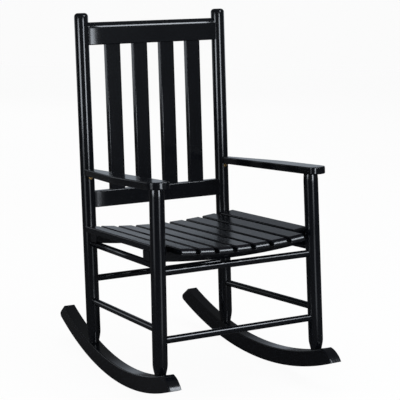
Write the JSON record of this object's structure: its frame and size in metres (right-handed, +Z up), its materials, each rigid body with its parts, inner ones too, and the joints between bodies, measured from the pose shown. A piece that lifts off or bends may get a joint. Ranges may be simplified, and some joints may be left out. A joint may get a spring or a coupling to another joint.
{
  "type": "child's slat-back rocking chair",
  "caption": "Child's rocking chair in black painted wood: turned posts and rungs, upright back slats, flat arms widening to the front, dished slatted seat, curved rockers",
  "frame": {"origin": "middle of the chair's footprint box, on the floor that the rockers stand on", "axes": "+Z up, +X to the right as seen in the picture, +Y to the back of the chair; the sitter faces -Y"},
  "size_m": [0.3906, 0.5664, 0.7209],
  "materials": {
    "black_paint": "satin",
    "brass": "satin",
    "zinc_steel": "satin"
  },
  "bodies": {
    "root": {"arm_left": "black_paint", "arm_right": "black_paint", "arm_support_screws": "brass", "back_rung": "black_paint", "back_slat_1": "black_paint", "back_slat_2": "black_paint", "back_slat_3": "black_paint", "back_slat_4": "black_paint", "crest_rail": "black_paint", "front_rung_lower": "black_paint", "front_rung_upper": "black_paint", "lower_back_rail": "black_paint", "post_back_left": "black_paint", "post_back_right": "black_paint", "post_front_left": "black_paint", "post_front_right": "black_paint", "rocker_left": "black_paint", "rocker_right": "black_paint", "seat_batten_back": "black_paint", "seat_batten_front": "black_paint", "seat_rung_screws": "zinc_steel", "seat_slat_1": "black_paint", "seat_slat_2": "black_paint", "seat_slat_3": "black_paint", "seat_slat_4": "black_paint", "seat_slat_5": "black_paint", "seat_slat_6": "black_paint", "seat_slat_7": "black_paint", "seat_slat_8": "black_paint", "seat_slat_9": "black_paint", "seat_slat_screws": "zinc_steel", "side_rung_lower_left": "black_paint", "side_rung_lower_right": "black_paint", "side_rung_upper_left": "black_paint", "side_rung_upper_right": "black_paint"}
  },
  "joints": []
}
